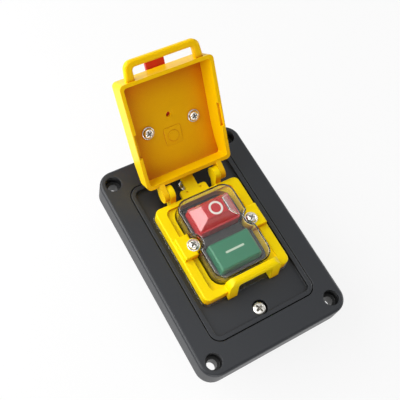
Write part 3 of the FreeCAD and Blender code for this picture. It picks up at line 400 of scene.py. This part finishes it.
def quads_of(count, around, closed, first):
    """The corner numbers of the quads between neighbouring rows of a grid of points numbered from first. A
    closed grid also joins each row's last point to its first."""
    across = np.arange(around if closed else around - 1)
    follow = (across + 1) % around
    row = first + np.arange(count - 1)[:, None] * around
    corners = [row + across, row + follow, row + around + follow, row + around + across]
    return np.stack(corners, axis=-1).reshape(-1, 4)


def surface(name, patches, material, body, replaced=()):
    """One closed piece from patches: pairs of a grid of points, row by column by XYZ in millimetres, and
    whether its rows close into rings. Patches and poles join where their points meet."""
    points, quads, total = [], [], 0
    for grid, closed in patches:
        quads.append(quads_of(*grid.shape[:2], closed, total))
        points.append(grid.reshape(-1, 3))
        total += len(points[-1])
    mesh = bpy.data.meshes.new(name)
    mesh.from_pydata((np.concatenate(points) * MM).tolist(), [], np.concatenate(quads).tolist())
    piece = bpy.data.objects.new(name, mesh)
    bpy.context.scene.collection.objects.link(piece)
    weld = piece.modifiers.new("joined_seams", "WELD")
    weld.merge_threshold = WELD_REACH_M
    mesh.polygons.foreach_set("use_smooth", np.ones(len(mesh.polygons), bool))
    mesh.materials.append(material)
    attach(piece, body)
    if replaced:
        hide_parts(*replaced)
    return piece


def box_ring(half, front, back, radius, side_points, end_points, arc_points):
    """A rounded rectangle as points in order from its right side's front end: straight sides with evenly
    spaced points and a quarter circle at each corner, so that rings of any size match point for point."""
    quarter = np.linspace(0, math.pi / 2, arc_points, endpoint=False)
    along_side = np.linspace(front + radius, back - radius, side_points, endpoint=False)
    along_end = np.linspace(half - radius, -half + radius, end_points, endpoint=False)
    parts = [np.stack([np.full(side_points, half), along_side], axis=-1)]
    corners = [(half - radius, back - radius), (-half + radius, back - radius),
               (-half + radius, front + radius), (half - radius, front + radius)]
    edges = [np.stack([along_end, np.full(end_points, back)], axis=-1),
             np.stack([np.full(side_points, -half), front + back - along_side], axis=-1),
             np.stack([-along_end, np.full(end_points, front)], axis=-1), None]
    for turn, ((x, y), edge) in enumerate(zip(corners, edges)):
        angle = quarter + turn * math.pi / 2
        parts.append(np.stack([x + radius * np.cos(angle), y + radius * np.sin(angle)], axis=-1))
        if edge is not None:
            parts.append(edge)
    return np.concatenate(parts)


def scalloped_side(half, front, back, inset):
    """The boot's right side from front to back, as the points of five stretches: straight, a small outward
    arc, the scallop's own arc round the screw, a second outward arc, and straight again. The outward arcs
    touch both the side's line and the scallop's circle."""
    ease = max(SCALLOP_EASE_R - SCALLOP_EASE_LOSS * inset, SCALLOP_EASE_LEAST_R)
    radius = SCALLOP_R + inset
    beyond = FRAME_SCREW_X - half + ease
    rise = math.sqrt((radius + ease) ** 2 - beyond ** 2)
    swing = math.atan2(rise, beyond)
    near, turn, bowl, turn_back, far = (np.linspace(0, 1, n, endpoint=False) for n in SIDE_PARTS)
    low, high = FRAME_SCREW_Y - rise, FRAME_SCREW_Y + rise
    angles = (swing * turn, math.pi + swing - 2 * swing * bowl, swing * (turn_back - 1))
    x = np.concatenate([np.full(len(near), half), half - ease + ease * np.cos(angles[0]),
                        FRAME_SCREW_X + radius * np.cos(angles[1]), half - ease + ease * np.cos(angles[2]),
                        np.full(len(far), half)])
    y = np.concatenate([front + near * (low - front), low + ease * np.sin(angles[0]),
                        FRAME_SCREW_Y + radius * np.sin(angles[1]), high + ease * np.sin(angles[2]),
                        high + far * (back - high)])
    return np.stack([x, y], axis=-1)


def boot_ring(inset):
    """The boot's outline moved in by inset: a rounded rectangle whose two sides have a scallop at each frame
    screw. The left side is the right one turned over and run from back to front."""
    half, front, back = BOOT_HALF - inset, BOOT_FRONT + inset, BOOT_BACK - inset
    corner = max(BOOT_CORNER_R - inset, BOOT_CORNER_LEAST_R)
    ring = box_ring(half, front, back, corner, *BOOT_SAMPLES)
    side = scalloped_side(half, front + corner, back - corner, inset)
    ring[:len(side)] = side
    left = len(side) + 2 * BOOT_SAMPLES[2] + BOOT_SAMPLES[1]
    ring[left + 1:left + len(side)] = side[:0:-1] * np.array([-1.0, 1.0])
    return ring


def hood_ring(share, inset):
    """The hood's outline part of the way from its foot to its top, moved in by inset: the points of a
    rectangle at the places where the boot's outline looks, with those past a corner's centre drawn onto its
    arc."""
    half, front, back = (a + share * (b - a) for a, b in zip(HOOD_BASE, HOOD_TOP))
    low = np.array([inset - half, front + inset])
    high = np.array([half - inset, back - inset])
    bowl = SIDE_PARTS[2] // 2
    side = [SIDE_PARTS[0], SIDE_PARTS[1], bowl, bowl, SIDE_PARTS[3], SIDE_PARTS[4]]
    end, arc = BOOT_SAMPLES[1:]
    ends = np.cumsum([0] + side + [arc, end, arc] + side[::-1] + [arc, end, arc])
    look = np.interp(np.arange(ends[-1]), ends, HOOD_LOOKS) % 5
    corners = np.arange(6)
    x = np.interp(look, corners, [0, high[0], high[0], low[0], low[0], 0])
    y = np.interp(look, corners, [low[1], low[1], high[1], high[1], low[1], low[1]])
    points = np.stack([x, y], axis=-1)
    inner = np.clip(points, low + HOOD_CORNER_R, high - HOOD_CORNER_R)
    out = points - inner
    return inner + HOOD_CORNER_R * out / np.linalg.norm(out, axis=-1, keepdims=True)


def level(ring, z):
    """A flat ring lifted to a height."""
    return np.concatenate([ring, np.full((len(ring), 1), z)], axis=-1)


def boot_skin(inset):
    """One skin of the boot from its foot to the middle of the hood's top: upright walls, a quarter-round
    brow, a flat top, and the hood's four slopes, with close rings beside each fold."""
    top_z = BOOT_TOP_Z - inset
    brow = max(BOOT_EDGE_R - inset, BOOT_EDGE_LEAST_R)
    flange_z = BOOT_FOOT_Z + FLANGE_HEIGHT
    heights = np.concatenate([BOOT_FOOT_Z + FOLD_EASE, flange_z + FOLD_EASE,
                              np.linspace(WALL_RINGS_FROM_Z, top_z - brow, WALL_RINGS)])
    rings = [level(boot_ring(inset), z) for z in heights]
    for angle in np.linspace(0, math.pi / 2, BROW_RINGS)[1:]:
        rings.append(level(boot_ring(inset + brow * (1 - math.cos(angle))),
                           top_z - brow + brow * math.sin(angle)))
    edge = boot_ring(inset + brow)
    foot = hood_ring(0.0, inset)
    for share in TOP_SHARES:
        rings.append(level(edge + share * (foot - edge), top_z))
    for share in HOOD_SHARES:
        rings.append(level(hood_ring(share, inset), top_z + share * HOOD_HEIGHT))
    crown = hood_ring(1.0, inset)
    centre = (crown.min(axis=0) + crown.max(axis=0)) / 2
    for share in CROWN_SHARES:
        rings.append(level(crown + share * (centre - crown), top_z + HOOD_HEIGHT))
    return rings


def make_boot():
    """The clear boot: its outer skin, its inner skin and the flange that joins them at the foot, with close
    rings beside each fold so that the flat stretches stay flat."""
    flange_z = BOOT_FOOT_Z + FLANGE_HEIGHT
    outer = [ring for ring in boot_skin(0.0)[::-1] if ring[0, 2] > flange_z]
    inner = boot_skin(BOOT_WALL)
    edge = []
    for angle in np.linspace(0, math.pi / 2, FLANGE_EDGE_RINGS):
        inset = FLANGE_EDGE_R * (1 - math.sin(angle))
        ring = box_ring(FLANGE_HALF - inset, FLANGE_FRONT + inset, FLANGE_BACK - inset,
                        FLANGE_CORNER_R - inset, *BOOT_SAMPLES)
        edge.append(level(ring, flange_z - FLANGE_EDGE_R * (1 - math.cos(angle))))
    foot = level(edge[-1][:, :2], BOOT_FOOT_Z)
    wall = level(boot_ring(0.0), flange_z)
    over = [wall + share * (edge[0] - wall) for share in FLANGE_SHARES]
    under = [foot + share * (inner[0] - foot) for share in FLANGE_SHARES]
    rings = np.array(outer + over + edge + under + inner)
    surface("clear_boot", [(rings[::-1], True)], boot_pvc, "housing", ("splash_boot",))


make_boot()


def head_disc(cells):
    """A grid on the unit disc, bent from a square so that its middle lines stay straight: x is u times the
    root of 1 - v*v/2, and y the same with u and v changed over."""
    u, v = np.meshgrid(np.linspace(-1, 1, cells + 1), np.linspace(-1, 1, cells + 1))
    return np.stack([u * np.sqrt(1 - v ** 2 / 2), v * np.sqrt(1 - u ** 2 / 2)], axis=-1)


def border(grid):
    """The points round the edge of a square grid, in order."""
    return np.concatenate([grid[0, :-1], grid[:-1, -1], grid[-1, :0:-1], grid[:0:-1, 0]])


def cross_recess(x, y, scale):
    """How deep the driver's recess is at each point of a head, from 0 to 1: two crossed arms with steep
    flanks, deepest in the middle and rising to the head's face at their ends."""
    far, near = np.maximum(np.abs(x), np.abs(y)), np.minimum(np.abs(x), np.abs(y))
    flank = np.clip((SLOT_WIDTH / 2 * scale - near) / (SLOT_FLANK * scale) + 0.5, 0, 1)
    end = np.clip((SLOT_LENGTH / 2 * scale - far) / (SLOT_RAMP * scale), 0, 1)
    middle = np.clip(1 - far / (SLOT_LENGTH / 2 * scale), 0, 1)
    return flank * end * (SLOT_ARM_SHARE + (1 - SLOT_ARM_SHARE) * middle)


def dome_drop(share, dome_share):
    """How far a point of the head has come down from its dome to its collar, from 0 to 1."""
    return np.clip((share - dome_share) / COLLAR_STEP, 0, 1)


def screw_patches(head_d, head_h, shank_d, pitch, length, dome_share, cells):
    """A pan-head screw about Z with its seat at 0. The head is a disc lifted to a low dome that covers
    dome_share of its radius and drops to a flat collar outside that, with the recess taken out of it. The
    shank's radius rises and falls once per pitch along a helix and tapers at its end."""
    scale = head_d / SCREW_HEAD_D
    radius = head_d / 2
    disc = head_disc(cells)
    share = np.hypot(disc[..., 0], disc[..., 1])
    side = RIM_SHARE if dome_share >= WHOLE_DOME else COLLAR_HEIGHT
    dome = RIM_SHARE + (1 - RIM_SHARE) * np.sqrt(np.clip(1 - (share / dome_share) ** DOME_POWER, 0, 1))
    dome = head_h * (dome + (side - dome) * dome_drop(share, dome_share))
    x, y = radius * disc[..., 0], radius * disc[..., 1]
    cap = np.stack([x, y, dome - SLOT_DEPTH * scale * cross_recess(x, y, scale)], axis=-1)
    round_way = border(disc)
    down = np.linspace(0, 1, max(int(length / pitch * THREAD_ROWS), THREAD_ROWS))[1:, None]
    angle = np.arctan2(round_way[:, 1], round_way[:, 0])
    wave = 0.5 + 0.5 * np.cos(2 * math.pi * down * length / pitch - angle)
    taper = np.clip((1 - down) * length / (shank_d * TIP_LENGTH), TIP_SHARE, 1)
    thread = shank_d / 2 * (1 - THREAD_DEPTH + THREAD_DEPTH * wave) * taper
    rim_radius = np.array([radius, radius, radius, SEAT_SHARE * radius, shank_d / 2])[:, None]
    rim_height = head_h * side * np.array(RIM_HEIGHTS)[:, None]
    rim = np.broadcast_to(rim_radius, (len(rim_radius), len(angle)))
    spread = np.concatenate([rim, thread, np.zeros((1, len(angle)))])
    height = np.concatenate([rim_height, -down * length, [[-length]]])
    shank = np.stack([spread * round_way[:, 0], spread * round_way[:, 1],
                      np.broadcast_to(height, spread.shape)], axis=-1)
    return [(cap, False), (shank[:, ::-1], True)]


def turned(points, turn):
    """Points turned about Z."""
    cos, sin = math.cos(turn), math.sin(turn)
    return points @ np.array([[cos, sin, 0.0], [-sin, cos, 0.0], [0.0, 0.0, 1.0]])


def opened(points):
    """Points of the closed lid turned about the hinge to where the lid rests open."""
    joint = next(j for j in frame["joints"] if j["name"] == "lid_hinge")
    turn = Matrix.Rotation(math.radians(-joint["range_deg"][0]), 3, Vector(joint["axis"]))
    pivot = np.array(joint["pos_m"]) / MM
    return (points - pivot) @ np.array(turn).T + pivot


def pan_screws(name, body, node, places, sizes, facing, lid=False):
    """The screws of one CAD node. places holds a seat's X, Y, Z and the recess's turn in radians for each,
    sizes is what screw_patches takes, and facing is 1 for heads that look up and -1 for heads that look down.
    A lid screw is placed in the closed lid and opened with it."""
    for i, (x, y, z, turn) in enumerate(places):
        patches = []
        for grid, closed in screw_patches(*sizes):
            points = turned(grid, turn) * np.array([1.0, facing, facing]) + np.array([x, y, z])
            patches.append((opened(points) if lid else points, closed))
        screw = surface(f"{name}_{i + 1}", patches, nickel_plate, body, (node,))
        mark_recess(screw, sizes[0], *sizes[-2:])


def mark_recess(screw, head_d, dome_share, cells):
    """Keeps how deep each point lies in the driver's recess, or in the step down to the collar, as a point
    attribute by which the material paints shade there."""
    disc = head_disc(cells).reshape(-1, 2)
    drop = dome_drop(np.hypot(disc[:, 0], disc[:, 1]), dome_share)
    slot = cross_recess(*(disc.T * head_d / 2), head_d / SCREW_HEAD_D)
    shade_depth = np.zeros(len(screw.data.vertices), np.float32)
    shade_depth[:len(disc)] = np.maximum(slot, COLLAR_SHADE * 4 * drop * (1 - drop))
    screw.data.attributes.new("recess", "FLOAT", "POINT").data.foreach_set("value", shade_depth)


pan_screws("panel_screw", "housing", "panel_screws",
           [(*place, PANEL_SEAT_Z, turn) for place, turn in zip(PANEL_SCREW_PLACES, (0.35, 1.0))],
           (PANEL_SCREW_HEAD_D, SCREW_HEAD_H, SCREW_D, SCREW_PITCH, PANEL_SCREW_LENGTH, WHOLE_DOME,
            HEAD_CELLS), 1)
pan_screws("frame_screw", "housing", "frame_screws",
           [(-FRAME_SCREW_X, FRAME_SCREW_Y, FRAME_SEAT_Z, 0.5),
            (FRAME_SCREW_X, FRAME_SCREW_Y, FRAME_SEAT_Z, 0.9)],
           (SCREW_HEAD_D, SCREW_HEAD_H, SCREW_D, SCREW_PITCH, FRAME_SCREW_LENGTH, DOME_SHARE, HEAD_CELLS), 1)
pan_screws("lid_screw", "lid", "lid_screws",
           [(-LID_SEAT[0], *LID_SEAT[1:], 0.4), (LID_SEAT[0], *LID_SEAT[1:], 0.3)],
           (SCREW_HEAD_D, SCREW_HEAD_H, SCREW_D, SCREW_PITCH, LID_SCREW_LENGTH, DOME_SHARE, HEAD_CELLS), -1,
           lid=True)
pan_screws("body_screw", "housing", "body_screws",
           [(side * BODY_SCREW_X, y, BASE_SEAT_Z, 0.3 * side + 0.02 * y)
            for side in (-1, 1) for y in BODY_SCREW_YS],
           (BODY_SCREW_HEAD_D, BODY_SCREW_HEAD_H, BODY_SCREW_D, BODY_SCREW_PITCH, BODY_SCREW_LENGTH,
            WHOLE_DOME, BODY_HEAD_CELLS), -1)


def make_spring(name, node):
    """A return spring: a round wire carried along a helix. Its end turns lie flat, and between them it rises
    evenly."""
    low, high = (np.array(corner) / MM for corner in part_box(node))
    middle = (low + high) / 2
    radius = (high[0] - low[0] - SPRING_WIRE) / 2
    turn = np.linspace(0, SPRING_TURNS, int(SPRING_TURNS * SPRING_TURN_POINTS))[:, None]
    lap = np.linspace(0, -2 * math.pi, WIRE_POINTS, endpoint=False)
    rise = np.clip((turn - SPRING_END_TURN) / (SPRING_TURNS - 2 * SPRING_END_TURN), 0, 1)
    thick = np.concatenate([np.zeros((1, 1)), np.full((len(turn) - 2, 1), SPRING_WIRE / 2), np.zeros((1, 1))])
    out = radius + thick * np.cos(lap)
    angle = 2 * math.pi * turn
    height = low[2] + SPRING_WIRE / 2 + rise * (high[2] - low[2] - SPRING_WIRE) + thick * np.sin(lap)
    points = np.stack([middle[0] + out * np.cos(angle), middle[1] + out * np.sin(angle), height], axis=-1)
    spring = surface(name, [(points, True)], spring_wire, "housing", (node,))
    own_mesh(spring)


make_spring("start_return_spring", "start_spring")
make_spring("stop_return_spring", "stop_spring")


def make_ring_mark():
    """The stop button's ring: a flat band with rounded edges, an oval section swept round a circle."""
    top_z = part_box("stop_button")[1].z / MM
    turn = np.linspace(0, 2 * math.pi, RING_AROUND, endpoint=False)
    lap = np.linspace(0, 2 * math.pi, RING_SECTION, endpoint=False)
    width = (RING_OUTER_D - RING_INNER_D) / 4
    middle = (RING_OUTER_D + RING_INNER_D) / 4
    flat = np.sign(np.cos(lap)) * np.abs(np.cos(lap)) ** MARK_SQUARENESS
    rise = np.sign(np.sin(lap)) * np.abs(np.sin(lap)) ** MARK_SQUARENESS
    radius = middle + width * flat[:, None]
    height = np.broadcast_to(top_z + MARK_HEIGHT * rise[:, None], (RING_SECTION, RING_AROUND))
    points = np.stack([RING_X + radius * np.cos(turn), RING_Y + radius * np.sin(turn), height], axis=-1)
    points = np.concatenate([points, points[:1]])
    surface("stop_ring_mark", [(points[::-1], True)], white_ink, "stop")


def make_bar_mark():
    """The start button's bar: a low pillow whose outline is a rectangle with rounded corners."""
    top_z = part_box("start_button")[1].z / MM
    rings = []
    for inset, height in BAR_PROFILE:
        half = BAR_LENGTH / 2 - inset
        deep = BAR_WIDTH / 2 - inset
        corner = max(BAR_CORNER_R - inset, BAR_CORNER_LEAST_R)
        ring = box_ring(half, BAR_Y - deep, BAR_Y + deep, corner, *BAR_SAMPLES)
        rings.append(level(ring, top_z + height * MARK_HEIGHT))
    first, last = rings[0].copy(), rings[-1].copy()
    first[:, :2] = first[:, :2].mean(axis=0)
    last[:, :2] = last[:, :2].mean(axis=0)
    rings = np.array([first] + rings + [last])
    surface("start_bar_mark", [(rings, True)], rubbed_ink, "start")


make_ring_mark()
make_bar_mark()


def make_camera():
    """The camera of the photograph: its place, the way it looks and its focal length."""
    data = bpy.data.cameras.new("camera")
    data.sensor_width = SENSOR_MM
    data.lens = FOCAL_PIXELS / FRAME_PIXELS * SENSOR_MM
    camera = bpy.data.objects.new("camera", data)
    bpy.context.scene.collection.objects.link(camera)
    right, up = Vector(CAMERA_RIGHT).normalized(), -Vector(CAMERA_DOWN)
    back = right.cross(up).normalized()
    up = back.cross(right)
    turn = Matrix((right, up, back)).transposed()
    camera.matrix_world = Matrix.Translation(Vector(CAMERA_AT) * MM) @ turn.to_4x4()
    bpy.context.scene.camera = camera


make_camera()


def softbox(name, place, wide, high, power):
    """A white rectangular lamp at a place, turned to face the buttons."""
    data = bpy.data.lights.new(name, "AREA")
    data.shape = "RECTANGLE"
    data.size = wide * MM
    data.size_y = high * MM
    data.energy = power
    lamp = bpy.data.objects.new(name, data)
    lamp.location = Vector(place) * MM
    lamp.rotation_euler = (Vector(LAMPS_AIM) - Vector(place)).to_track_quat("-Z", "Y").to_euler()
    bpy.context.scene.collection.objects.link(lamp)


softbox("key", (-420, 243, 373), 760, 560, 5.5)
softbox("front_fill", (-203, -558, 103), 500, 250, 1.5)
softbox("top", (-40, -20, 620), 450, 450, 0.6)
softbox("right_fill", (590, -60, 150), 420, 300, 1.4)


def make_floor():
    """A wide pale floor under the lowest piece. To the camera, in mirrors and through the boot it is nearly
    white by itself, and the rest of it is lit, so that it keeps a soft shadow."""
    low = cad_box[0].z
    half = FLOOR_HALF * MM
    mesh = bpy.data.meshes.new("floor")
    corners = [(-half, -half, low), (half, -half, low), (half, half, low), (-half, half, low)]
    mesh.from_pydata(corners, [], [(0, 1, 2, 3)])
    floor = bpy.data.objects.new("floor", mesh)
    bpy.context.scene.collection.objects.link(floor)
    material, tree, output = new_material("pale_floor")
    lit = add(tree, "ShaderNodeBsdfDiffuse", {"Color": linear("#F2F2F2")})
    glow = add(tree, "ShaderNodeEmission", {"Color": linear("#FFFFFF"), "Strength": 1.0})
    path = add(tree, "ShaderNodeLightPath")
    seen = add(tree, "ShaderNodeMath", {0: path.outputs["Is Camera Ray"], 1: path.outputs["Is Glossy Ray"]},
               operation="MAXIMUM")
    seen = add(tree, "ShaderNodeMath", {0: seen.outputs[0], 1: path.outputs["Is Transmission Ray"]},
               operation="MAXIMUM")
    part = add(tree, "ShaderNodeMath", {0: seen.outputs[0], 1: FLOOR_GLOW}, operation="MULTIPLY")
    both = add(tree, "ShaderNodeMixShader", {0: part.outputs[0], 1: lit.outputs[0], 2: glow.outputs[0]})
    tree.links.new(both.outputs[0], output.inputs["Surface"])
    mesh.materials.append(material)


make_floor()


def make_room():
    """The room round the object: white to the camera, and to mirrors and the clear boot pale overhead and
    behind and dimmer in front. Only a part of it falls on matt surfaces, which the lamps light."""
    world = bpy.data.worlds.new("studio")
    world.use_nodes = True
    tree = world.node_tree
    tree.nodes.clear()
    way = add(tree, "ShaderNodeTexCoord").outputs["Generated"]
    path = add(tree, "ShaderNodeLightPath")
    facing = add(tree, "ShaderNodeVectorMath", {0: way, 1: ROOM_BRIGHT_WAY}, operation="DOT_PRODUCT")
    tone = add(tree, "ShaderNodeMapRange", {"Value": facing.outputs["Value"],
                                            "From Min": ROOM_TURN[0], "From Max": ROOM_TURN[1],
                                            "To Min": ROOM_DIM, "To Max": ROOM_BRIGHT})
    share = add(tree, "ShaderNodeMapRange", {"Value": path.outputs["Is Diffuse Ray"], "To Min": 1.0,
                                             "To Max": ROOM_ON_MATT})
    lit = add(tree, "ShaderNodeMath", {0: tone.outputs["Result"], 1: share.outputs["Result"]},
              operation="MULTIPLY")
    strength = add(tree, "ShaderNodeMapRange", {"Value": path.outputs["Is Camera Ray"],
                                                "To Min": lit.outputs[0], "To Max": 1.0})
    back = add(tree, "ShaderNodeBackground", {"Color": linear("#FFFFFF"),
                                              "Strength": strength.outputs["Result"]})
    add(tree, "ShaderNodeOutputWorld", {"Surface": back.outputs["Background"]})
    bpy.context.scene.world = world


make_room()
bpy.context.scene.view_settings.view_transform = "Standard"
